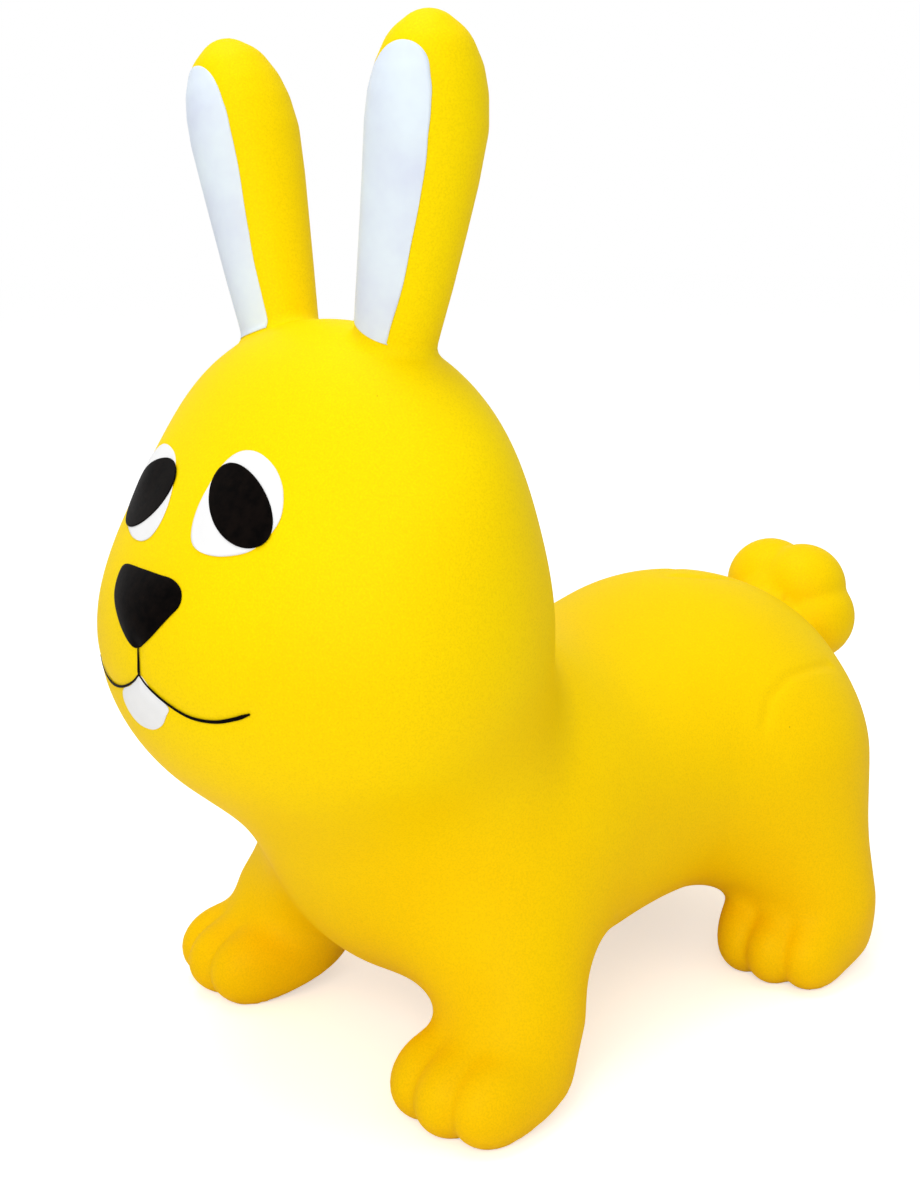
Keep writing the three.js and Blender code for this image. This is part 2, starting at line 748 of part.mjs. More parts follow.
function pupilShape(side, margin) {
  const shape = new THREE.Shape();
  const turn = THREE.MathUtils.degToRad(side * pupilTurn);
  shape.absellipse(0, 0, pupilHalfWidth + margin, pupilHalfHeight + margin, 0, 2 * Math.PI, false, turn);
  return shape;
}

function eyeWhiteShape(side) {
  const shape = new THREE.Shape();
  const turn = THREE.MathUtils.degToRad(side * eyeWhiteTurn);
  shape.absellipse(0, 0, eyeWhiteHalfWidth, eyeWhiteHalfHeight, 0, 2 * Math.PI, false, turn);
  return shape;
}

const pupilFilm = (side) => facePaint(pupilShape(side, 0), eyeFrame(side), facePaintDepth);
function eyeWhiteFilm(side) {
  const hole = new THREE.ExtrudeGeometry(pupilShape(side, fitGap), {
    depth: facePaintDepth * 2,
    bevelEnabled: false,
    curveSegments: roundSegments / 2,
  });
  const centred = eyeFrame(side).multiply(new THREE.Matrix4().makeTranslation(0, 0, -facePaintDepth / 2));
  return facePaint(eyeWhiteShape(side), eyeFrame(side), facePaintDepth).subtract(solidFrom(hole, centred));
}

// The nose is a triangle with rounded corners, its point down
function noseShape() {
  const shape = new THREE.Shape();
  shape.moveTo(-noseHalfWidth + noseCorner, noseTop);
  shape.lineTo(noseHalfWidth - noseCorner, noseTop);
  shape.quadraticCurveTo(noseHalfWidth, noseTop, noseHalfWidth, noseTop - noseCorner);
  shape.quadraticCurveTo(noseHalfWidth - noseCorner / 2, noseTop - 2 * noseCorner, noseCorner / 2, noseBottom);
  shape.quadraticCurveTo(0, noseBottom - 1, -noseCorner / 2, noseBottom);
  shape.quadraticCurveTo(-noseHalfWidth + noseCorner / 2, noseTop - 2 * noseCorner, -noseHalfWidth, noseTop - noseCorner);
  shape.quadraticCurveTo(-noseHalfWidth, noseTop, -noseHalfWidth + noseCorner, noseTop);
  return shape;
}

// The mouth hangs from the nose on a short stem and swings out to both cheeks as one line
const mouthStemTop = noseBottom - 1 - fitGap;
function mouthCurve(side) {
  return new THREE.SplineCurve([
    new THREE.Vector2(0, mouthStemBottom),
    new THREE.Vector2(side * mouthSagAside * 0.5, (mouthSag + mouthStemBottom) / 2 - 4),
    new THREE.Vector2(side * mouthSagAside, mouthSag),
    new THREE.Vector2(side * mouthEndAside, mouthEnd),
  ]);
}
function mouthShape() {
  const half = mouthLineWidth / 2;
  const steps = 16;
  const right = mouthCurve(1).getSpacedPoints(steps);
  const left = mouthCurve(-1).getSpacedPoints(steps);
  const raised = (points, lift) => points.map((p) => new THREE.Vector2(p.x, p.y + lift));
  const upperRight = raised(right.slice(1), half);
  const upperLeft = raised(left.slice(1), half).reverse();
  const lower = [...raised(left, -half).reverse(), ...raised(right.slice(1), -half)];
  const stem = [
    new THREE.Vector2(half, mouthStemBottom),
    new THREE.Vector2(half, mouthStemTop),
    new THREE.Vector2(-half, mouthStemTop),
    new THREE.Vector2(-half, mouthStemBottom),
  ];
  return new THREE.Shape([...lower, ...upperRight.reverse(), ...stem, ...upperLeft.reverse()]);
}

// The tooth hangs under the middle of the mouth
function toothShape() {
  const drop = mouthLineWidth / 2 + fitGap;
  const steps = 8;
  const under = (side) => mouthCurve(side)
    .getPoints(steps * 4)
    .filter((p) => Math.abs(p.x) < toothHalfWidth)
    .map((p) => new THREE.Vector2(p.x, p.y - drop));
  const upper = [...under(-1).reverse(), ...under(1).slice(1)];
  const bottom = new THREE.EllipseCurve(0, upper[0].y, toothHalfWidth - 1, upper[0].y - toothBottom, 0, -Math.PI, true);
  return new THREE.Shape([...upper, ...bottom.getPoints(steps * 2)]);
}

function liningFilm(side) {
  const { joint, along, aside, ahead } = earFrame(side);
  const slant = side * liningSlant;
  const shape = new THREE.Shape();
  shape.moveTo(-liningBottomHalfWidth, liningBottom + slant);
  shape.lineTo(liningBottomHalfWidth, liningBottom - slant);
  shape.lineTo(liningTopHalfWidth, liningTop - liningTopHalfWidth);
  shape.absarc(0, liningTop - liningTopHalfWidth, liningTopHalfWidth, 0, Math.PI, false);
  shape.lineTo(-liningBottomHalfWidth, liningBottom + slant);
  const matrix = new THREE.Matrix4().makeBasis(aside, along, ahead).setPosition(joint);
  return paintFilm(earSurfaces.get(side), earForm(side), shape, matrix, earWideRadius * 2);
}

const vinyl = new THREE.MeshStandardMaterial({ color: 0xffd400, roughness: 0.6, metalness: 0 });
const whitePaint = new THREE.MeshStandardMaterial({ color: 0xf4f4f6, roughness: 0.5, metalness: 0 });
const blackPaint = new THREE.MeshStandardMaterial({ color: 0x0d0b0a, roughness: 0.4, metalness: 0 });
const clearVinyl = new THREE.MeshStandardMaterial({ color: 0xe9e6da, roughness: 0.45, metalness: 0 });

const toy = new THREE.Group();
function addPiece(name, solid, material) {
  const mesh = new THREE.Mesh(geometryOf(solid), material);
  mesh.name = name;
  toy.add(mesh);
}

addPiece("body_skin", bodySkin, vinyl);
addPiece("valve_plug", plug, clearVinyl);
for (const [name, side] of [["left", 1], ["right", -1]]) {
  addPiece(`ear_${name}`, earSolid(side), vinyl);
  addPiece(`ear_lining_${name}`, liningFilm(side), whitePaint);
  addPiece(`eye_white_${name}`, eyeWhiteFilm(side), whitePaint);
  addPiece(`pupil_${name}`, pupilFilm(side), blackPaint);
}
addPiece("nose", facePaint(noseShape(), frontFrame(), cutterSpan / 2), blackPaint);
addPiece("mouth_line", facePaint(mouthShape(), frontFrame(), cutterSpan / 2), blackPaint);
addPiece("tooth", facePaint(toothShape(), frontFrame(), cutterSpan / 2), whitePaint);

// The origin is under the middle of the toy's length
const bounds = new THREE.Box3().setFromObject(toy);
toy.position.y = -(bounds.min.y + bounds.max.y) / 2;

export default toy;
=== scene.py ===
"""Looks of an inflated ride-on bunny: matte yellow vinyl, soft ears, a painted face and an air valve."""

from math import cos, pi, radians, sin

import bmesh
import bpy
import numpy as np
from bpy.props import FloatProperty, FloatVectorProperty, PointerProperty
from bpy.types import Operator, Panel, PropertyGroup
from mathutils import Matrix, Vector


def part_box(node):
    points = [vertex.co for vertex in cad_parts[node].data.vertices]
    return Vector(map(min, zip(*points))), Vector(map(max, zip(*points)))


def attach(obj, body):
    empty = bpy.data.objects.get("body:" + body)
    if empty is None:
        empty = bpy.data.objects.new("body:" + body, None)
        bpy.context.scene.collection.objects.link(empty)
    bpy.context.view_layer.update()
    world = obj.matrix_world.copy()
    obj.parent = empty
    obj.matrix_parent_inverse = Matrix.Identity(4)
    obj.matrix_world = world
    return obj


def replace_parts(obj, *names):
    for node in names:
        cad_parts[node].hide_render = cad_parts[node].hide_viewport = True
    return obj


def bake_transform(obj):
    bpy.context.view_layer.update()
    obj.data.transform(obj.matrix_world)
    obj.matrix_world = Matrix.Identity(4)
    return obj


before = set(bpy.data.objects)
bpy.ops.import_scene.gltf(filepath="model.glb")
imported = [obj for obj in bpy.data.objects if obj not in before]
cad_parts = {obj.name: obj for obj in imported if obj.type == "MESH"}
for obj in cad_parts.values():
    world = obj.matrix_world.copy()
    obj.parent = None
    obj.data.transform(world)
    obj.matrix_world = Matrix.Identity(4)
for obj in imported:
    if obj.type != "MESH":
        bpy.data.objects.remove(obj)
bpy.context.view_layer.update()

bl_info = {
    "name": "Bunny Hopper",
    "version": (1, 0, 0),
    "blender": (4, 5, 0),
    "location": "View3D > Sidebar > Bunny",
    "description": "Models and paints an inflated ride-on bunny around its fixed frame",
    "category": "Object",
}

MM = 0.001
SIDES = {"left": 1, "right": -1}

# The bunny's forms are given in millimetres about the middle of its body, which the valve places in the frame
VALVE_BEHIND = 20
PLUG_LOW, PLUG_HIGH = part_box("valve_plug")
SHIFT = Vector((0, (PLUG_LOW.y + PLUG_HIGH.y) / 2 - VALVE_BEHIND * MM, 0))

# Centre and half sizes of each swelling of the body
CRANIUM = ((0, -148, 354), (130, 70, 90))
MUZZLE = ((0, -159, 268), (146, 121, 114))
CHEST = ((0, -73, 148), (115, 110, 113))
BARREL = ((0, 10, 134), (115, 108, 90))
RUMP = ((0, 144, 151), (128, 127, 107))

# Softness of the creases between these forms. The crease round the neck tightens from throat to nape
HEAD_SOFTNESS = 60
TRUNK_SOFTNESS = 60
THROAT_SOFTNESS = 62
NAPE_SOFTNESS = 20
THROAT_END = -110
NAPE_START = 0

# Start, end, start radius and end radius of each left limb
FRONT_LEG = ((58, -72, 128), (107, -106, 52), 56, 42)
HIND_LEG = ((81, 158, 137), (114, 166, 50), 57, 41)
HIP_SOFTNESS = 40
ANKLE_SOFTNESS = 12

# Place, turn in degrees, heel's half sizes and reach of the toes of each left paw, and a toe's half sizes
FRONT_PAW = ((110, -120), 8, (43, 44, 38), 65)
HIND_PAW = ((103, 172), 13, (45, 47, 40), 71)
TOE = (21.5, 34, 26)
TOE_SPACING = 22.5
TOE_SOFTNESS = 2.5
SIDE_TOE_SET_BACK = 5
HEEL_SOFTNESS = 10

# How much of each heel and toe the sole cuts off, and the place and slope of the sole's rise towards the heel
HEEL_CUT = 15
TOE_CUT = 4
SOLE_BEND = -24
SOLE_RISE = 0.3
SOLE_SOFTNESS = 5

# Middle and radius of the tail, and its lobes: radius, spread across and up, and set-back from the middle
TAIL = (0, 263.5, 217.5)
TAIL_CORE = 36
TAIL_LOBE = 32
TAIL_SPREAD = (25, 18.5)
TAIL_LOBE_SET_BACK = 5
TAIL_LOBES = 5
TAIL_LOBE_SOFTNESS = 2

# Places and radii along the left ear, from its root to its tip, and which of them is the widest
EAR = (
    ((51, -146, 426), 21.8), ((56.4, -146, 445), 23.3),
    ((63.4, -146.1, 470), 25.7), ((70.6, -146.3, 497), 28),
    ((77, -146.6, 522), 30.1), ((82.6, -147.5, 545), 31.5),
    ((85.3, -148.8, 557), 30.6), ((87.1, -149.9, 565), 28.8),
    ((88.8, -151.2, 573), 25.4), ((90.5, -152.6, 581.6), 18.4),
)
EAR_WIDEST = 5
EAR_JOINT = (53.73, -146.08, 435.92)

# The ear parts from the head at a seam above its joint
SEAM_HEIGHT = 21

# A face is the ear's when it is no further than this below the seam and aside of the ear's middle
SEAM_MARGIN = 8
EAR_REACH = 50

# Room that the rough forms take round the tail's core and the outer toes
ROUGH_TAIL_MARGIN = 10
ROUGH_TOES_MARGIN = 12

# Swelling above the outer side of the right eye, as millimetres across and up, and the dip along the mouth.
# Each fades in ahead of its own place along the body, over the same length
BROW = (-60, 364)
BROW_WIDTH = 19
BROW_START = -150
MOUTH_DIP_WIDTH = 5
MOUTH_START = -200
FACE_FADE = 30

# Shallow folds of the moulding on the left thigh and across the back
THIGH_FOLD = ((118, 101, 184), (113, 111, 198), (110, 134, 209), (106, 182, 207))
BACK_FOLD = ((0, 134, 258), (17, 151, 257), (23, 181, 251))

# Painted outlines as seen from the front, as millimetres across and up
EYE_WHITES = {
    "left": (
        (18.2, 341), (15.2, 351), (15.2, 361), (17, 371), (22, 377.6), (30, 380.4), (41, 379.2),
        (54, 373), (64.4, 362.5), (69.4, 348.5), (63, 335.5), (49, 330.6), (34.5, 330.4), (24, 333.8),
    ),
    "right": (
        (-49, 331), (-36, 328.6), (-22.4, 329), (-14.2, 333.3), (-11.3, 342.8), (-15.2, 354.5),
        (-27, 367.9), (-40, 374), (-56, 375), (-67, 368), (-72, 356), (-69, 343), (-60, 334.5),
    ),
}

# Middle, half length, half width and turn in degrees of each pupil, as seen from the front
PUPILS = {
    "left": ((42.2, 354.7), 29.8, 13.2, 148.6),
    "right": ((-44.6, 351), 28.4, 17.6, 17.3),
}
NOSE = (
    (-31.1, 315.7), (-37.5, 310.5), (-36, 299), (-23.3, 287.6), (-8.8, 278.6), (-0.7, 276.8),
    (10.8, 283.6), (24.5, 297.1), (30.5, 304.5), (28.4, 311.5), (20.1, 315.6), (8, 316.3), (-10, 316.6),
)
TOOTH = (
    (0, 262), (-11, 254), (-23, 249), (-24.5, 243), (-20, 235), (-11.1, 230.9),
    (2.9, 231.6), (14, 236.5), (20.5, 243), (23, 249), (11, 255.4),
)
MOUTH_STEM = ((0, 277.5), (0.4, 270), (0, 262.5))
MOUTH_LEFT = (
    (0, 262.5), (8.1, 257.3), (23.1, 251.1), (39.2, 246.6), (55, 246.9), (67.4, 250.4), (76.6, 254.4),
)
MOUTH_RIGHT = (
    (0, 262.5), (-8.1, 256.6), (-22.9, 250.4), (-39.2, 247.4), (-55, 248.2), (-67.4, 251.2), (-76.6, 254.4),
)

# A stroke of the mouth line swells from a share of its width at the start, and rounds off along its last run
STROKE_START = 0.55
STROKE_SWELL = 0.75
STROKE_TIP_END = 1.02
STROKE_TIP_RUN = 0.12
STROKE_TIP_LEAST = 0.03

# Outline of each ear's lining, as millimetres across the ear to the bunny's left and along it from the joint
LININGS = {
    "left": (
        (-16.6, 8.6), (-17.2, 20), (-18, 50), (-18.6, 85), (-18.8, 112), (-16.8, 129), (-11.5, 143),
        (-2.5, 151.4), (7, 153.8), (15, 150.4), (20.6, 141), (24, 127), (25, 104), (23.8, 80), (21.8, 57),
        (19.6, 34), (15.8, 12), (14.6, 4), (13.6, 2.6), (-2, 4.8), (-15.6, 7.4),
    ),
    "right": (
        (14.2, 0), (14.5, 15), (15.2, 40), (17.2, 65), (19.7, 91), (20.8, 116), (19.6, 129), (16, 141),
        (8, 150), (-3, 152.6), (-10.5, 147), (-16.4, 134), (-20, 112), (-21.2, 85), (-20.4, 55), (-17, 28),
        (-14.2, 8), (-13.8, -0.8), (-12.8, -2), (0, -2.2), (13.2, -1.4),
    ),
}

# Facets along a painted patch, and the rounds in which its points even out
FACE_PATCH_FACETS = 48
LINING_FACETS = 64
STROKE_FACETS = (60, 4)
EVENING_ROUNDS = 900

# Where paint starts on its way to the skin: a place ahead of the face, and a height above the ear's front.
# Its outside faces away from the middle of the head
FACE_CLEAR = -400.0
LINING_CLEAR = 90
HEAD_MIDDLE = (0, -150, 300)

# Roundness of the nose's dome, and height of a second coat as a share of the thickness of the first
DOME_ROUNDNESS = 2.4
SECOND_COAT = 1.2

# The plug's seat: room round its head, depth, radius of the bore, room above the stem and the cutter's foot
SEAT_PLAY = 0.3
SEAT_DEPTH = 3.3
BORE_RADIUS = 4.5
BORE_PLAY = 3
CUTTER_BOTTOM = 10

# Limits that keep points from overshooting while they are drawn to a surface
LEAST_SLOPE = 0.3
LONGEST_MOVE = 6
LONGEST_STRIDES = (-4, 60)
STRIDES = 60
STRIDE_SHARE = 0.8


def linear(hex_colour):
    """Linear red, green, blue and alpha of an sRGB hex colour."""
    shares = [int(hex_colour[i:i + 2], 16) / 255 for i in (1, 3, 5)]
    return [*(c / 12.92 if c <= 0.04045 else ((c + 0.055) / 1.055) ** 2.4 for c in shares), 1.0]


def colour(label, hex_colour):
    return FloatVectorProperty(name=label, description=f"{label} in linear values", subtype="COLOR", size=4,
                               min=0, max=1, default=linear(hex_colour))


def length(label, description, millimetres):
    return FloatProperty(name=label, description=description, default=millimetres * MM, min=0, unit="LENGTH")


class BunnySkin(PropertyGroup):
    fineness: length("Fineness", "Size of the skin's facets", 3)
    ear_fillet: length("Ear fillet", "Softness of the crease at the ears' roots", 6)
    tail_fillet: length("Tail fillet", "Softness of the crease at the tail's root", 7)
    fold_depth: length("Fold depth", "Depth of the folds on thighs and back", 1.6)
    fold_width: length("Fold width", "Width of the folds on thighs and back", 3.2)
    brow_swell: length("Brow swell", "How far the skin swells beside the right eye", 2.6)
    mouth_depth: length("Mouth depth", "How far the muzzle dips along the mouth line", 1.2)
    # The vinyl's tones run from the lit one at the top to the deep one at the bottom: painted light and shade
    lit_lemon: colour("Lit vinyl", "#ffdf00")
    yellow: colour("Vinyl", "#ffd600")
    shaded_amber: colour("Deep vinyl", "#fdc900")
    speck: colour("Specks", "#6b5200")


class BunnyPaint(PropertyGroup):
    thickness: length("Thickness", "Thickness of a coat of paint", 0.35)
    lift: length("Lift", "Height of the first coat above the skin", 0.2)
    nose_dome: length("Nose dome", "How far the middle of the nose stands out", 3.2)
    line_width: length("Mouth width", "Width of the mouth line at its middle", 1.7)
    eye_white: colour("Eye white", "#f2f2f2")
    lining: colour("Lining white", "#e7f3fb")
    lining_shade: colour("Lining shade", "#dbe3f4")
    black: colour("Black", "#040303")
    brown_black: colour("Brown black", "#0f0a08")


class BunnyPlug(PropertyGroup):
    milky: colour("Plug vinyl", "#e4e0d2")


# Distance forms: each takes points as rows of millimetres and is negative inside

def ellipsoid(points, centre, radii):
    offset = (points - np.array(centre)) / np.array(radii)
    reach = np.linalg.norm(offset, axis=1)
    slope = np.linalg.norm(offset / np.array(radii), axis=1)
    return reach * (reach - 1) / np.maximum(slope, 1e-6)


def tapered_limb(points, start, end, start_radius, end_radius):
    start, axis = np.array(start, float), np.array(end, float) - np.array(start, float)
    span = np.linalg.norm(axis)
    offset = points - start
    along = offset @ (axis / span)
    aside = np.sqrt(np.maximum((offset ** 2).sum(1) - along ** 2, 0))
    sine = (start_radius - end_radius) / span
    cosine = np.sqrt(1 - sine * sine)
    station = along - aside * sine / cosine
    cone = aside * cosine + along * sine - start_radius
    near = np.hypot(along, aside) - start_radius
    far = np.hypot(along - span, aside) - end_radius
    return np.where(station < 0, near, np.where(station > span, far, cone))


def soft_union(first, second, radius):
    share = np.maximum(radius - np.abs(first - second), 0) / radius
    return np.minimum(first, second) - share * share * radius / 4


def chain_distance(points, stops):
    """Distance from a chain of straight pieces."""
    least = np.full(len(points), np.inf)
    for start, end in zip(np.array(stops[:-1], float), np.array(stops[1:], float)):
        axis = end - start
        share = np.clip((points - start) @ axis / (axis @ axis), 0, 1)
        least = np.minimum(least, np.linalg.norm(points - start - share[:, None] * axis, axis=1))
    return least


def folded(points):
    """The points brought to the left side, on which the limbs are given."""
    return np.column_stack((np.abs(points[:, 0]), points[:, 1], points[:, 2]))


def paw(points, place, turn, heel, toe_reach):
    """A left paw with three toes, cut off by its sole."""
    angle = radians(-turn)
    x, y = points[:, 0] - place[0], points[:, 1] - place[1]
    across, along = x * cos(angle) - y * sin(angle), x * sin(angle) + y * cos(angle)
    local = np.column_stack((across, along, points[:, 2]))
    toes = None
    for row in (-1, 0, 1):
        back = TOE[1] - toe_reach + abs(row) * SIDE_TOE_SET_BACK
        toe = ellipsoid(local, (row * TOE_SPACING, back, TOE[2] - TOE_CUT), TOE)
        toes = toe if toes is None else soft_union(toes, toe, TOE_SOFTNESS)
    whole = soft_union(ellipsoid(local, (0, 0, heel[2] - HEEL_CUT), heel), toes, HEEL_SOFTNESS)
    sole = (local[:, 1] - SOLE_BEND) * SOLE_RISE - points[:, 2]
    return -soft_union(-whole, -sole, SOLE_SOFTNESS)


def ear(points):
    """Both ears."""
    left = folded(points)
    limbs = [tapered_limb(left, low, high, low_radius, high_radius)
             for (low, low_radius), (high, high_radius) in zip(EAR, EAR[1:])]
    return np.minimum.reduce(limbs)


def tail(points):
    """A round puff with a ring of lobes."""
    puff = ellipsoid(points, TAIL, (TAIL_CORE,) * 3)
    for lobe in range(TAIL_LOBES):
        turn = 2 * pi * (lobe + 0.5) / TAIL_LOBES + pi / 2
        across, up = TAIL_SPREAD[0] * cos(turn), TAIL_SPREAD[1] * sin(turn)
        place = (TAIL[0] + across, TAIL[1] + TAIL_LOBE_SET_BACK, TAIL[2] + up)
        puff = soft_union(puff, ellipsoid(points, place, (TAIL_LOBE,) * 3), TAIL_LOBE_SOFTNESS)
    return puff


def plain_body(points):
    """The body without ears, tail and folds."""
    left = folded(points)
    head = soft_union(ellipsoid(points, *CRANIUM), ellipsoid(points, *MUZZLE), HEAD_SOFTNESS)
    trunk = soft_union(ellipsoid(points, *CHEST), ellipsoid(points, *BARREL), TRUNK_SOFTNESS)
    trunk = soft_union(trunk, ellipsoid(points, *RUMP), TRUNK_SOFTNESS)
    for leg, foot in ((FRONT_LEG, FRONT_PAW), (HIND_LEG, HIND_PAW)):
        limb = soft_union(tapered_limb(left, *leg), paw(left, *foot), ANKLE_SOFTNESS)
        trunk = soft_union(trunk, limb, HIP_SOFTNESS)
    step = np.clip((points[:, 1] - THROAT_END) / (NAPE_START - THROAT_END), 0, 1)
    step = step * step * (3 - 2 * step)
    return soft_union(trunk, head, THROAT_SOFTNESS + (NAPE_SOFTNESS - THROAT_SOFTNESS) * step)


def ahead_of(points, start):
    """How far points lie ahead of a place along the body, from 0 at that place to 1."""
    return np.clip((start - points[:, 1]) / FACE_FADE, 0, 1)


def skin(points):
    """The whole skin, with its folds, its brow and the dip along the mouth."""
    look = bpy.context.scene.bunny_skin
    form = soft_union(plain_body(points), tail(points), look.tail_fillet / MM)
    form = soft_union(form, ear(points), look.ear_fillet / MM)
    left = folded(points)
    for stops in (THIGH_FOLD, BACK_FOLD):
        fold = np.exp(-(chain_distance(left, stops) / (look.fold_width / MM)) ** 2)
        form = form + fold * look.fold_depth / MM
    front = points[:, (0, 2)]
    brow = np.exp(-(np.linalg.norm(front - BROW, axis=1) / BROW_WIDTH) ** 2)
    form = form - ahead_of(points, BROW_START) * brow * look.brow_swell / MM
    lines = (MOUTH_LEFT, MOUTH_RIGHT, MOUTH_STEM)
    mouth = np.minimum.reduce([chain_distance(front, line) for line in lines])
    dip = ahead_of(points, MOUTH_START) * np.exp(-(mouth / MOUTH_DIP_WIDTH) ** 2)
    return form + dip * look.mouth_depth / MM


def outward(form, points):
    """Slope of a form, which points out of it."""
    reach = 0.4
    corners = np.array(((1, -1, -1), (-1, -1, 1), (-1, 1, -1), (1, 1, 1)), float)
    return sum(np.outer(form(points + reach * corner), corner) for corner in corners) / (4 * reach)


def drawn_on(form, points, steps=3):
    """Points near a form's surface, drawn on to it."""
    for _ in range(steps):
        slope = outward(form, points)
        move = form(points) / np.maximum((slope ** 2).sum(1), LEAST_SLOPE)
        points = points - slope * np.clip(move, -LONGEST_MOVE, LONGEST_MOVE)[:, None]
    return points


def met(form, points, direction, level):
    """Points moved along a direction until they meet the surface at a level above the form."""
    points, direction = points.copy(), np.array(direction, float)
    for _ in range(STRIDES):
        stride = np.clip(form(points) - level, *LONGEST_STRIDES) * STRIDE_SHARE
        points += np.outer(stride, direction)
    return points


# Meshes

def to_frame(points):
    return np.asarray(points) * MM + np.array(SHIFT)


def read_points(mesh):
    flat = np.empty(len(mesh.vertices) * 3)
    mesh.vertices.foreach_get("co", flat)
    return (flat.reshape(-1, 3) - np.array(SHIFT)) / MM


def write_points(mesh, points):
    mesh.vertices.foreach_set("co", to_frame(points).ravel())
    mesh.update()


def linked(name, data):
    """A new object in the scene."""
    made = bpy.data.objects.new(name, data)
    bpy.context.scene.collection.objects.link(made)
    return made


def new_object(name, bm):
    mesh = bpy.data.meshes.new(name)
    bm.to_mesh(mesh)
    bm.free()
    return linked(name, mesh)


def finished(made, material):
    made.data.materials.clear()
    made.data.materials.append(material)
    made.data.shade_smooth()
    return made


def with_modifiers_applied(made):
    """The object with its modifiers worked into its mesh."""
    graph = bpy.context.evaluated_depsgraph_get()
    mesh = bpy.data.meshes.new_from_object(made.evaluated_get(graph))
    old = made.data
    made.modifiers.clear()
    made.data = mesh
    bpy.data.meshes.remove(old)
    mesh.name = made.name
    return made


def add_ball(bm, centre, radii):
    size = Matrix.Diagonal((*(Vector(radii) * MM), 1))
    place = Matrix.Translation(Vector(centre) * MM + SHIFT) @ size
    bmesh.ops.create_icosphere(bm, subdivisions=4, radius=1, matrix=place)


def add_limb(bm, start, end, start_radius, end_radius):
    """Adds the hull of two balls, made apart from the other forms."""
    limb = bmesh.new()
    add_ball(limb, start, (start_radius,) * 3)
    add_ball(limb, end, (end_radius,) * 3)
    hull = bmesh.ops.convex_hull(limb, input=limb.verts)
    inside = [part for part in hull["geom_interior"] if isinstance(part, bmesh.types.BMVert)]
    bmesh.ops.delete(limb, geom=inside, context="VERTS")
    mesh = bpy.data.meshes.new("limb")
    limb.to_mesh(mesh)
    limb.free()
    bm.from_mesh(mesh)
    bpy.data.meshes.remove(mesh)


def mirrored(centre):
    """A place on the left and its mirror image on the right."""
    return [(side * centre[0], *centre[1:]) for side in SIDES.values()]


def rough_bunny():
    """Balls and limbs where the bunny swells, to be drawn together into one skin."""
    bm = bmesh.new()
    for centre, radii in (CRANIUM, MUZZLE, CHEST, BARREL, RUMP):
        add_ball(bm, centre, radii)
    add_ball(bm, TAIL, (TAIL_CORE + ROUGH_TAIL_MARGIN,) * 3)
    for start, end, start_radius, end_radius in (FRONT_LEG, HIND_LEG):
        for top, bottom in zip(mirrored(start), mirrored(end)):
            add_limb(bm, top, bottom, start_radius, end_radius)
    for place, turn, heel, reach in (FRONT_PAW, HIND_PAW):
        ahead, angle = reach - TOE[1], radians(turn)
        toes = (place[0] + ahead * sin(angle), place[1] - ahead * cos(angle))
        for middle in mirrored((*place, heel[2] - HEEL_CUT)):
            add_ball(bm, middle, heel)
        for middle in mirrored((*toes, TOE[2] - TOE_CUT)):
            add_ball(bm, middle, (TOE_SPACING + ROUGH_TOES_MARGIN, TOE[1], TOE[2]))
    root, widest, tip = EAR[0], EAR[EAR_WIDEST], EAR[-1]
    for (start, start_radius), (end, end_radius) in ((root, widest), (widest, tip)):
        for low, high in zip(mirrored(start), mirrored(end)):
            add_limb(bm, low, high, start_radius, end_radius)
    return bm


def relaxed(mesh, rounds):
    """Points of a mesh evened out along its surface while they are drawn on to the skin."""
    edges = np.empty(len(mesh.edges) * 2, int)
    mesh.edges.foreach_get("vertices", edges)
    ends = edges.reshape(-1, 2)
    count = np.bincount(edges, minlength=len(mesh.vertices))[:, None]
    points = drawn_on(skin, read_points(mesh), steps=4)
    for _ in range(rounds):
        total = np.zeros_like(points)
        for one, other in ((0, 1), (1, 0)):
            for axis in range(3):
                total[:, axis] += np.bincount(ends[:, one], points[ends[:, other], axis], len(points))
        points = drawn_on(skin, (points + total / count) / 2, steps=1)
    return drawn_on(skin, points)


def ear_frame(side):
    """Joint of an ear and the directions along it, across it to the bunny's left, and ahead of it."""
    root, wide = (Vector((side * p[0], *p[1:])) for p in (EAR[0][0], EAR[EAR_WIDEST][0]))
    along = (wide - root).normalized()
    across = along.cross(Vector((0, -1, 0))).normalized()
    return Vector((side * EAR_JOINT[0], *EAR_JOINT[1:])), along, across, across.cross(along)


def bend_with_ear(piece):
    """Works the piece's placement into its mesh."""
    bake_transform(piece)


def part_ear(bm, side):
    """Cuts the skin square across an ear above its root, and returns the faces beyond the cut."""
    joint, along, _, _ = ear_frame(side)
    seam = (joint + along * SEAM_HEIGHT) * MM + SHIFT

    def near_ear(face):
        offset = face.calc_center_median() - seam
        height = offset.dot(along)
        return height > -SEAM_MARGIN * MM and (offset - along * height).length < EAR_REACH * MM

    faces = [face for face in bm.faces if near_ear(face)]
    parts = {*faces, *(e for f in faces for e in f.edges), *(v for f in faces for v in f.verts)}
    bmesh.ops.bisect_plane(bm, geom=list(parts), dist=1e-7, plane_co=seam, plane_no=along)
    return [f for f in bm.faces if near_ear(f) and (f.calc_center_median() - seam).dot(along) > 0]


def closed_off(bm):
    """Fills the open ends of a skin, with a sharp rim so that the skin's shading runs on past it."""
    rims = [e for e in bm.edges if e.is_boundary]
    for rim in rims:
        rim.smooth = False
    bmesh.ops.holes_fill(bm, edges=rims, sides=0)
    bmesh.ops.recalc_face_normals(bm, faces=bm.faces)
    return bm


def kept(bm, faces):
    """A copy of a skin with only some of its faces."""
    indices = {face.index for face in faces}
    copy = bm.copy()
    copy.faces.ensure_lookup_table()
    bmesh.ops.delete(copy, geom=[f for f in copy.faces if f.index not in indices], context="FACES")
    return closed_off(copy)


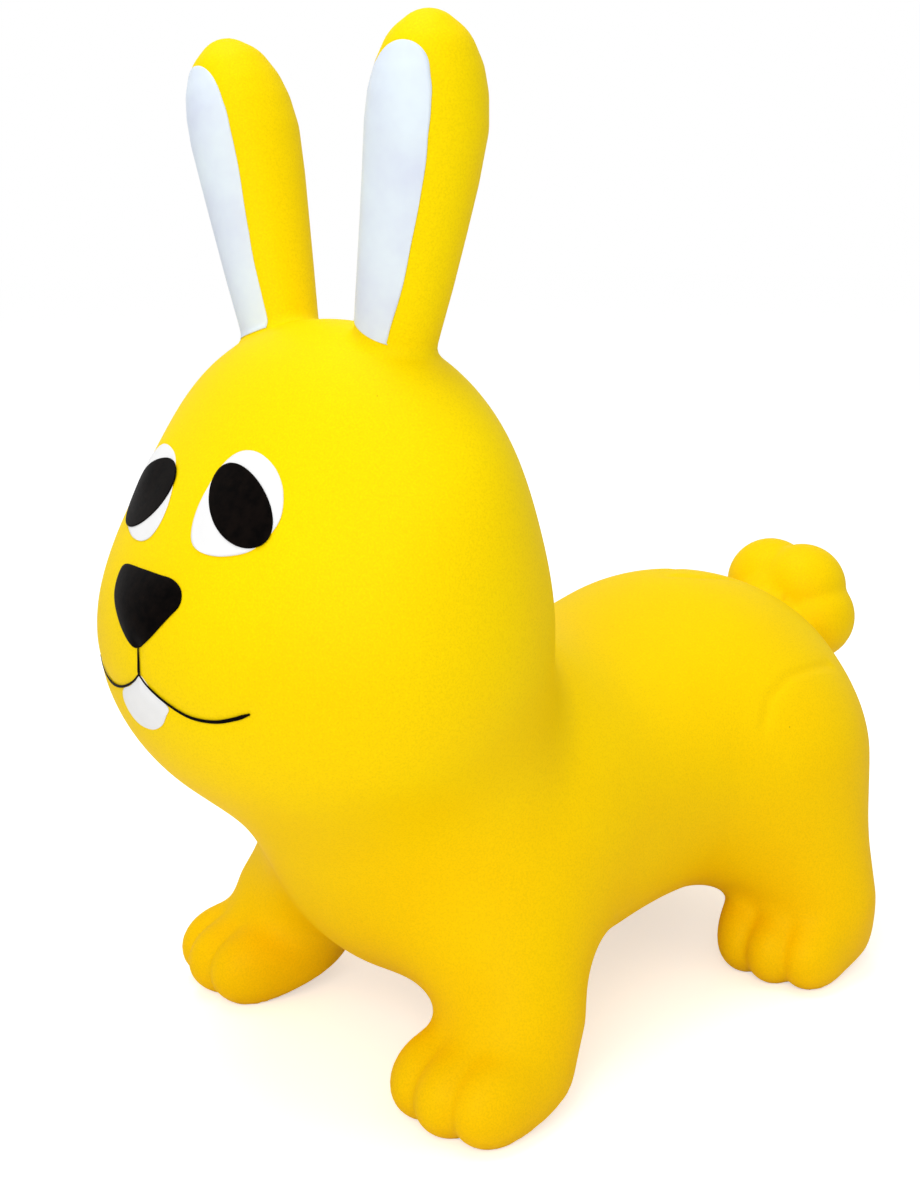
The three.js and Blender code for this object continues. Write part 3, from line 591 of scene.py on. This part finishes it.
class BUNNY_OT_skin(Operator):
    """Models the body's skin and the two ears as one form, then parts the ears at their roots"""
    bl_idname = "bunny.skin"
    bl_label = "Skin and Ears"

    def execute(self, context):
        look = context.scene.bunny_skin
        made = new_object("vinyl_skin", rough_bunny())
        remesh = made.modifiers.new("Remesh", "REMESH")
        remesh.mode = "VOXEL"
        remesh.voxel_size = look.fineness * 1
        with_modifiers_applied(made)
        points = relaxed(made.data, rounds=6)
        points[:, 2] = np.maximum(points[:, 2], 0)
        write_points(made.data, points)

        bm = bmesh.new()
        bm.from_mesh(made.data)
        bpy.data.objects.remove(made)
        ears = {name: part_ear(bm, side) for name, side in SIDES.items()}
        bm.faces.index_update()
        ear_faces = {face for faces in ears.values() for face in faces}
        body = new_object("body_vinyl", kept(bm, [f for f in bm.faces if f not in ear_faces]))
        vinyl = yellow_vinyl(look)
        cut_valve_seat(body)
        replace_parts(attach(finished(body, vinyl), "toy"), "body_skin")
        for name, faces in ears.items():
            made = new_object(f"ear_vinyl_{name}", kept(bm, faces))
            bend_with_ear(finished(made, vinyl))
            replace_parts(made, f"ear_{name}")
        bm.free()
        return {"FINISHED"}


def cut_valve_seat(body):
    """Sinks a round seat for the plug's head and a bore for its stem into the belly."""
    middle = (PLUG_LOW + PLUG_HIGH) / 2
    head_radius = (PLUG_HIGH.x - PLUG_LOW.x) / 2 + SEAT_PLAY * MM
    bore_radius, bottom = BORE_RADIUS * MM, CUTTER_BOTTOM * MM
    seat_top, bore_top = PLUG_LOW.z + SEAT_DEPTH * MM, PLUG_HIGH.z + BORE_PLAY * MM
    corners = (
        (0, bottom), (head_radius, bottom), (head_radius, seat_top),
        (bore_radius, seat_top), (bore_radius, bore_top), (0, bore_top),
    )
    bm = bmesh.new()
    profile = [bm.verts.new((middle.x + radius, middle.y, height)) for radius, height in corners]
    edges = [bm.edges.new(pair) for pair in zip(profile, profile[1:])]
    bmesh.ops.spin(bm, geom=profile + edges, cent=middle, axis=(0, 0, 1), angle=2 * pi, steps=48,
                   use_merge=True)
    bmesh.ops.remove_doubles(bm, verts=bm.verts, dist=1e-6)
    bmesh.ops.recalc_face_normals(bm, faces=bm.faces)
    cutter = new_object("valve_cutter", bm)
    cut = body.modifiers.new("Valve", "BOOLEAN")
    cut.operation, cut.solver, cut.object = "DIFFERENCE", "MANIFOLD", cutter
    with_modifiers_applied(body)
    bpy.data.objects.remove(cutter)


# Paint

def smooth_curve(before, start, end, after, share):
    """Points on smooth curves from start to end, steered by the stops beside them, and the slopes there."""
    bend = 2 * before - 5 * start + 4 * end - after
    twist = 3 * start - before - 3 * end + after
    points = 0.5 * (2 * start + (end - before) * share + bend * share ** 2 + twist * share ** 3)
    return points, end - before + 2 * bend * share + 3 * twist * share ** 2


def outline_point(stops, turns):
    """Points on a smooth closed curve through the stops, for turns from 0 to 1."""
    stops = np.array(stops, float)
    place = (turns % 1) * len(stops)
    first = place.astype(int) % len(stops)
    share = (place - place.astype(int))[:, None]
    beside = (stops[(first + step) % len(stops)] for step in (-1, 0, 1, 2))
    return smooth_curve(*beside, share)[0]


def filled_outline(name, stops, fineness):
    """A flat patch inside an outline, its points, and how far each is from the middle, up to 1 at the rim."""
    bm = bmesh.new()
    bmesh.ops.create_grid(bm, x_segments=fineness, y_segments=fineness, size=1)
    made = new_object(name, bm)
    square = np.array([v.co[:2] for v in made.data.vertices])
    disc = square * np.sqrt(1 - square[:, ::-1] ** 2 / 2)
    reach = np.minimum(np.linalg.norm(disc, axis=1), 1)
    turns = np.arctan2(disc[:, 1], disc[:, 0]) / (2 * pi)
    middle = np.mean(stops, axis=0)
    flat = middle + reach[:, None] * (outline_point(stops, turns) - middle)
    rows = flat.reshape(fineness + 1, fineness + 1, 2)
    for _ in range(EVENING_ROUNDS):
        rows[1:-1, 1:-1] = (rows[:-2, 1:-1] + rows[2:, 1:-1] + rows[1:-1, :-2] + rows[1:-1, 2:]) / 4
    return made, rows.reshape(-1, 2), reach


def coated(made, points, material, slot, *nodes):
    """A patch laid on the skin as a thin closed coat of paint that stands for CAD nodes."""
    write_points(made.data, points)
    bm = bmesh.new()
    bm.from_mesh(made.data)
    bmesh.ops.recalc_face_normals(bm, faces=bm.faces)
    middle = Vector(HEAD_MIDDLE) * MM + SHIFT
    if np.mean([f.normal.dot(f.calc_center_median() - middle) for f in bm.faces]) < 0:
        bmesh.ops.reverse_faces(bm, faces=bm.faces)
    bm.to_mesh(made.data)
    bm.free()
    coat = made.modifiers.new("Coat", "SOLIDIFY")
    coat.thickness, coat.offset = bpy.context.scene.bunny_paint.thickness, 1
    with_modifiers_applied(made)
    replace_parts(finished(made, material), *nodes)
    return made


def laid_on_face(flat, level):
    """Points seen from the front, moved back until they lie on the face."""
    start = np.column_stack((flat[:, 0], np.full(len(flat), FACE_CLEAR), flat[:, 1]))
    return met(skin, start, (0, 1, 0), level)


def face_patch(name, stops, level, material, slot, node, dome=0.0):
    """A painted area of the face that stands for a CAD node."""
    made, flat, reach = filled_outline(name, stops, FACE_PATCH_FACETS)
    points = laid_on_face(flat, level + dome * (1 - reach ** DOME_ROUNDNESS))
    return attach(coated(made, points, material, slot, node), "toy")


def oval(middle, half_length, half_width, turn, count=24):
    """Stops round an oval."""
    turned = Matrix.Rotation(radians(turn), 2)
    angles = np.linspace(0, 2 * pi, count, endpoint=False)
    stops = (Vector((half_length * cos(angle), half_width * sin(angle))) for angle in angles)
    return [tuple(turned @ stop + Vector(middle)) for stop in stops]


def coat_levels(paint):
    """Heights above the skin, in millimetres, of a first coat and of a second one over it."""
    return paint.lift / MM, (paint.lift + SECOND_COAT * paint.thickness) / MM


class BUNNY_OT_eyes(Operator):
    """Paints the whites of the eyes and the pupils on them"""
    bl_idname = "bunny.eyes"
    bl_label = "Eyes"

    def execute(self, context):
        paint = context.scene.bunny_paint
        low, high = coat_levels(paint)
        white, black = white_paint(paint), black_paint(paint)
        for name in SIDES:
            eye, pupil = f"eye_white_paint_{name}", f"pupil_paint_{name}"
            face_patch(eye, EYE_WHITES[name], low, white, "white_paint", f"eye_white_{name}")
            face_patch(pupil, oval(*PUPILS[name]), high, black, "black_paint", f"pupil_{name}")
        return {"FINISHED"}


class BUNNY_OT_nose(Operator):
    """Paints the domed nose"""
    bl_idname = "bunny.nose"
    bl_label = "Nose"

    def execute(self, context):
        paint = context.scene.bunny_paint
        low, _ = coat_levels(paint)
        dome = paint.nose_dome / MM
        face_patch("nose_paint", NOSE, low, black_paint(paint), "black_paint", "nose", dome)
        return {"FINISHED"}


def brush_stroke(bm, stops, width, level):
    """Adds a strip along a smooth line on the face, which swells on its way and rounds off at its end."""
    stops = np.array(stops, float)
    columns, rows = STROKE_FACETS
    made = bmesh.ops.create_grid(bm, x_segments=columns, y_segments=rows, size=1)["verts"]
    square = np.array([v.co[:2] for v in made])
    run = (square[:, 0] + 1) / 2
    ends = np.vstack((2 * stops[0] - stops[1], stops, 2 * stops[-1] - stops[-2]))

    # the last point stays just within the last piece of the line
    place = run * (len(stops) - 1) * (1 - 1e-6)
    first, share = place.astype(int), (place - place.astype(int))[:, None]
    line, ahead = smooth_curve(*(ends[first + step] for step in range(4)), share)
    normal = np.column_stack((-ahead[:, 1], ahead[:, 0])) / np.linalg.norm(ahead, axis=1)[:, None]
    tip = np.sqrt(np.clip((STROKE_TIP_END - run) / STROKE_TIP_RUN, STROKE_TIP_LEAST, 1))
    half = width / 2 * (STROKE_START + STROKE_SWELL * run) * tip
    points = laid_on_face(line + normal * (square[:, 1] * half)[:, None], level)
    for vertex, point in zip(made, to_frame(points)):
        vertex.co = point


class BUNNY_OT_mouth(Operator):
    """Paints the mouth line and the tooth under it"""
    bl_idname = "bunny.mouth"
    bl_label = "Mouth and Tooth"

    def execute(self, context):
        paint = context.scene.bunny_paint
        low, high = coat_levels(paint)
        face_patch("tooth_paint", TOOTH, low, white_paint(paint), "white_paint", "tooth")
        bm = bmesh.new()
        for stops in (MOUTH_STEM, MOUTH_LEFT, MOUTH_RIGHT):
            brush_stroke(bm, stops, paint.line_width / MM, high)
        made = new_object("mouth_paint", bm)
        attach(coated(made, read_points(made.data), black_paint(paint), "black_paint", "mouth_line"), "toy")
        return {"FINISHED"}


class BUNNY_OT_linings(Operator):
    """Paints the white linings on the fronts of the ears"""
    bl_idname = "bunny.linings"
    bl_label = "Ear Linings"

    def execute(self, context):
        paint = context.scene.bunny_paint
        white = lining_paint(paint)
        low, _ = coat_levels(paint)
        for name, side in SIDES.items():
            joint, along, across, ahead = (np.array(v) for v in ear_frame(side))
            made, flat, _ = filled_outline(f"ear_lining_paint_{name}", LININGS[name], LINING_FACETS)
            start = joint + flat[:, :1] * across + flat[:, 1:] * along + LINING_CLEAR * ahead
            points = met(skin, start, -ahead, low)
            coated(made, points, white, "white_paint", f"ear_lining_{name}")
            bend_with_ear(made)
        return {"FINISHED"}


# Materials

def add(tree, kind, values=None, links=None, **settings):
    """Adds a node with its settings, the values of its sockets and the links into them."""
    node = tree.nodes.new(kind)
    for name, value in settings.items():
        setattr(node, name, value)
    for socket, value in (values or {}).items():
        node.inputs[socket].default_value = value
    for socket, source in (links or {}).items():
        tree.links.new(node.inputs[socket], source)
    return node


def new_material(name):
    material = bpy.data.materials.new(name)
    material.use_nodes = True
    material.node_tree.nodes.clear()
    return material, material.node_tree


def per_millimetre(size):
    """Scale of a texture on Object coordinates whose features are this many millimetres across."""
    return 1 / (size * MM)


def add_tones(tree, share, first, last, *between):
    """Adds a ramp through tones, each a place from 0 to 1 and a colour."""
    node = add(tree, "ShaderNodeValToRGB", links={"Fac": share})
    for element, (place, tone) in zip(node.color_ramp.elements, (first, last)):
        element.position, element.color = place, tone
    for place, tone in between:
        node.color_ramp.elements.new(place).color = tone
    return node.outputs["Color"]


def yellow_vinyl(look):
    """Soft PVC, rotation moulded: matte and faintly mottled, with painted light and shade that runs from
    lemon at the top to amber at the bottom, a fine grain and stray specks.
    """
    material, tree = new_material("soft_pvc_yellow")
    place = add(tree, "ShaderNodeTexCoord").outputs["Object"]
    clouds = add(tree, "ShaderNodeTexNoise", {"Scale": per_millimetre(90), "Detail": 3, "Roughness": 0.55},
                 {"Vector": place})
    # painted light and shade: the vinyl is lighter towards the top and deeper amber towards the bottom, mixed
    # with a random mottle
    height = add(tree, "ShaderNodeSeparateXYZ", links={"Vector": place}).outputs["Z"]
    height_shading = add(tree, "ShaderNodeMapRange", {"From Min": 0.0, "From Max": 0.4}, {"Value": height})
    blend = add(tree, "ShaderNodeMix", {"Factor": 0.65},
                {"A": clouds.outputs["Fac"], "B": height_shading.outputs["Result"]}).outputs["Result"]
    tone = add_tones(tree, blend, (0.2, look.shaded_amber), (0.8, look.lit_lemon), (0.5, look.yellow))

    # the grain of the mould is about half a millimetre, drawn at twice that so that it shows
    grain = add(tree, "ShaderNodeTexNoise", {"Scale": per_millimetre(1.1), "Detail": 2}, {"Vector": place})
    speckle = add(tree, "ShaderNodeMapRange",
                  {"From Min": 0.3, "From Max": 0.7, "To Min": 0.93, "To Max": 1.05},
                  {"Value": grain.outputs["Fac"]})
    grained = add(tree, "ShaderNodeMix", {"Factor": 1.0}, {"A": tone, "B": speckle.outputs["Result"]},
                  data_type="RGBA", blend_type="MULTIPLY")

    # stray specks of dirt about a millimetre across, a few centimetres apart
    cells = add(tree, "ShaderNodeTexVoronoi", {"Scale": per_millimetre(55), "Randomness": 1.0},
                {"Vector": place})
    dots = add(tree, "ShaderNodeMapRange",
               {"From Min": 0.008, "From Max": 0.016, "To Min": 0.75, "To Max": 0.0},
               {"Value": cells.outputs["Distance"]})
    specked = add(tree, "ShaderNodeMix", {"B": look.speck},
                  {"Factor": dots.outputs["Result"], "A": grained.outputs["Result"]}, data_type="RGBA")

    shine = add(tree, "ShaderNodeMapRange", {"To Min": 0.5, "To Max": 0.64},
                {"Value": clouds.outputs["Fac"]})
    bump = add(tree, "ShaderNodeBump", {"Strength": 0.12, "Distance": 0.25 * MM},
               {"Height": grain.outputs["Fac"]})
    vinyl = add(tree, "ShaderNodeBsdfPrincipled", {"IOR": 1.53, "Specular IOR Level": 0.04},
                {"Base Color": specked.outputs["Result"], "Roughness": shine.outputs["Result"],
                 "Normal": bump.outputs["Normal"]})
    add(tree, "ShaderNodeOutputMaterial", links={"Surface": vinyl.outputs["BSDF"]})
    return material


def paint_material(name, dark, light, patch, rough, sheen):
    """Vinyl that drifts between two tones over patches of some millimetres, with an uneven surface."""
    if name in bpy.data.materials:
        return bpy.data.materials[name]
    material, tree = new_material(name)
    place = add(tree, "ShaderNodeTexCoord").outputs["Object"]
    clouds = add(tree, "ShaderNodeTexNoise", {"Scale": per_millimetre(patch), "Detail": 4, "Roughness": 0.6},
                 {"Vector": place})
    tone = add_tones(tree, clouds.outputs["Fac"], (0.35, dark), (0.65, light))
    grain = add(tree, "ShaderNodeTexNoise", {"Scale": per_millimetre(1.6), "Detail": 2}, {"Vector": place})
    shine = add(tree, "ShaderNodeMapRange", {"To Min": rough - 0.08, "To Max": rough + 0.08},
                {"Value": grain.outputs["Fac"]})
    bump = add(tree, "ShaderNodeBump", {"Strength": 0.1, "Distance": 0.2 * MM},
               {"Height": grain.outputs["Fac"]})
    coat = add(tree, "ShaderNodeBsdfPrincipled", {"IOR": 1.5, "Specular IOR Level": sheen},
               {"Base Color": tone, "Roughness": shine.outputs["Result"], "Normal": bump.outputs["Normal"]})
    add(tree, "ShaderNodeOutputMaterial", links={"Surface": coat.outputs["BSDF"]})
    return material


def darker(tone, share):
    return [value * share for value in tone]


def white_paint(paint):
    """White vinyl ink: sprayed through a stencil, matte and even."""
    return paint_material("white_vinyl_ink", darker(paint.eye_white, 0.97), paint.eye_white,
                          patch=14, rough=0.5, sheen=0.25)


def black_paint(paint):
    """Black vinyl ink: sprayed by hand, satin, with brown where it is thin."""
    return paint_material("black_vinyl_ink", paint.black, paint.brown_black, patch=6, rough=0.45, sheen=0.015)


def lining_paint(paint):
    """White vinyl ink over yellow: a cool white that drifts to pale lavender."""
    return paint_material("cool_white_vinyl_ink", paint.lining_shade, paint.lining,
                          patch=60, rough=0.5, sheen=0.25)


class BUNNY_OT_plug(Operator):
    """Gives the valve plug its milky vinyl"""
    bl_idname = "bunny.plug"
    bl_label = "Valve Plug"

    def execute(self, context):
        look = context.scene.bunny_plug
        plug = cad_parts["valve_plug"]
        milky = paint_material("milky_soft_pvc", darker(look.milky, 0.93), look.milky,
                               patch=5, rough=0.4, sheen=0.4)
        plug.data.materials.clear()
        plug.data.materials.append(milky)
        return {"FINISHED"}


# Stage

# Place in metres, width and power of each lamp, all turned to the middle of the bunny
LAMPS = {
    "front_softbox": ((1.3, -1.67, 1.33), 1.5, 18.5),
    "top_softbox": ((-0.25, -0.3, 2.6), 1.5, 22),
}
LAMP_TARGET = (0, 0, 0.25)
FLOOR_HALF_SIZE = 12

# The photograph's camera: degrees about the bunny, millimetres, and its focal length in pixels of the picture
CAMERA_AZIMUTH = 49.2
CAMERA_ELEVATION = 12.69
CAMERA_DISTANCE = 1089.61
CAMERA_TARGET = (-62.79, 0, 257.45)
CAMERA_FOCAL_PIXELS = 1627.91
IMAGE_WIDTH = 920
IMAGE_HEIGHT = 1177
SENSOR_WIDTH = 36


class BUNNY_OT_stage(Operator):
    """Sets up the floor, the soft studio light and the camera"""
    bl_idname = "bunny.stage"
    bl_label = "Stage"

    def execute(self, context):
        scene = context.scene
        scene.view_settings.view_transform = "Standard"
        bm = bmesh.new()
        bmesh.ops.create_grid(bm, x_segments=2, y_segments=2, size=FLOOR_HALF_SIZE)
        floor = new_object("studio_floor", bm)
        floor.data.materials.append(studio_white())
        scene.world = studio_sky()
        for name, values in LAMPS.items():
            self.lamp(name, *values)
        scene.camera = self.camera()
        return {"FINISHED"}

    def lamp(self, name, place, size, power):
        data = bpy.data.lights.new(name, "AREA")
        data.shape, data.size, data.energy = "DISK", size, power
        lamp = linked(name, data)
        lamp.location = place
        lamp.rotation_euler = (Vector(LAMP_TARGET) - Vector(place)).to_track_quat("-Z", "Y").to_euler()

    def camera(self):
        azimuth, elevation = radians(CAMERA_AZIMUTH), radians(CAMERA_ELEVATION)
        back = Vector((sin(azimuth) * cos(elevation), -cos(azimuth) * cos(elevation), sin(elevation)))
        data = bpy.data.cameras.new("photo_camera")
        data.sensor_fit, data.sensor_width = "AUTO", SENSOR_WIDTH
        data.lens = CAMERA_FOCAL_PIXELS * SENSOR_WIDTH / max(IMAGE_WIDTH, IMAGE_HEIGHT)
        camera = linked("photo_camera", data)
        camera.location = (Vector(CAMERA_TARGET) + back * CAMERA_DISTANCE) * MM + SHIFT
        camera.rotation_euler = (-back).to_track_quat("-Z", "Y").to_euler()
        return camera


def studio_white():
    """Matte white studio floor: it keeps the shadow, and is lifted a little where the camera sees it."""
    material, tree = new_material("studio_white")
    seen = add(tree, "ShaderNodeLightPath").outputs["Is Camera Ray"]
    lift = add(tree, "ShaderNodeMath", {1: 0.5}, {0: seen}, operation="MULTIPLY")
    paper = add(tree, "ShaderNodeBsdfPrincipled",
                {"Base Color": linear("#f4f4f4"), "Roughness": 1.0, "Specular IOR Level": 0.0,
                 "Emission Color": (1, 1, 1, 1)}, {"Emission Strength": lift.outputs[0]})
    add(tree, "ShaderNodeOutputMaterial", links={"Surface": paper.outputs["BSDF"]})
    return material


def studio_sky():
    """White all round to the camera and in reflections, and softer as light on the bunny."""
    world = bpy.data.worlds.new("studio_sky")
    world.use_nodes = True
    tree = world.node_tree
    tree.nodes.clear()
    path = add(tree, "ShaderNodeLightPath")
    rays = {0: path.outputs["Is Camera Ray"], 1: path.outputs["Is Glossy Ray"]}
    seen = add(tree, "ShaderNodeMath", links=rays, operation="MAXIMUM")
    strength = add(tree, "ShaderNodeMapRange", {"To Min": 0.55, "To Max": 1.0}, {"Value": seen.outputs[0]})
    sky = add(tree, "ShaderNodeBackground", {"Color": (1, 1, 1, 1)},
              {"Strength": strength.outputs["Result"]})
    add(tree, "ShaderNodeOutputWorld", links={"Surface": sky.outputs["Background"]})
    return world


OPERATORS = (
    BUNNY_OT_stage, BUNNY_OT_skin, BUNNY_OT_eyes, BUNNY_OT_nose,
    BUNNY_OT_mouth, BUNNY_OT_linings, BUNNY_OT_plug,
)


class BUNNY_PT_panel(Panel):
    """Lists the bunny's pieces and what can be changed on them"""
    bl_idname = "BUNNY_PT_panel"
    bl_label = "Bunny Hopper"
    bl_space_type = "VIEW_3D"
    bl_region_type = "UI"
    bl_category = "Bunny"

    def draw(self, context):
        for operator in OPERATORS:
            self.layout.operator(operator.bl_idname)
        for group in (context.scene.bunny_skin, context.scene.bunny_paint, context.scene.bunny_plug):
            column = self.layout.column()
            for name in group.__annotations__:
                column.prop(group, name)


CLASSES = (BunnySkin, BunnyPaint, BunnyPlug, *OPERATORS, BUNNY_PT_panel)


def register():
    for cls in CLASSES:
        bpy.utils.register_class(cls)
    bpy.types.Scene.bunny_skin = PointerProperty(type=BunnySkin)
    bpy.types.Scene.bunny_paint = PointerProperty(type=BunnyPaint)
    bpy.types.Scene.bunny_plug = PointerProperty(type=BunnyPlug)


def unregister():
    del bpy.types.Scene.bunny_skin, bpy.types.Scene.bunny_paint, bpy.types.Scene.bunny_plug
    for cls in reversed(CLASSES):
        bpy.utils.unregister_class(cls)


def main():
    register()
    bpy.ops.bunny.stage()
    bpy.ops.bunny.skin()
    bpy.ops.bunny.eyes()
    bpy.ops.bunny.nose()
    bpy.ops.bunny.mouth()
    bpy.ops.bunny.linings()
    bpy.ops.bunny.plug()


if __name__ == "__main__":
    main()
